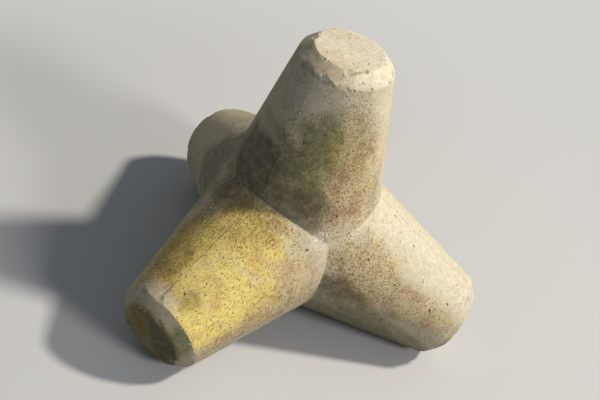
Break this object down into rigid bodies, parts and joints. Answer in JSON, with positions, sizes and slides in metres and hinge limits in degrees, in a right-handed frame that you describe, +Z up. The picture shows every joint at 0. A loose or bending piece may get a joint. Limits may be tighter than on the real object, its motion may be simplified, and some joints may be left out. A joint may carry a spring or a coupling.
{
  "type": "concrete tetrapod",
  "caption": "Cast concrete armour unit for breakwaters: tapered round legs with bevelled ends that meet at equal angles, standing on three of them.",
  "frame": {"origin": "the point where the four leg axes meet, which is also the centre of mass", "axes": "+Z up along the standing leg; one ground leg points along +Y in plan, the other two to front left (-X -Y) and front right (+X -Y)"},
  "size_m": [2.6555, 2.3903, 2.2236],
  "materials": {
    "concrete": "matte"
  },
  "bodies": {
    "root": {"tetrapod": "concrete"}
  },
  "joints": []
}
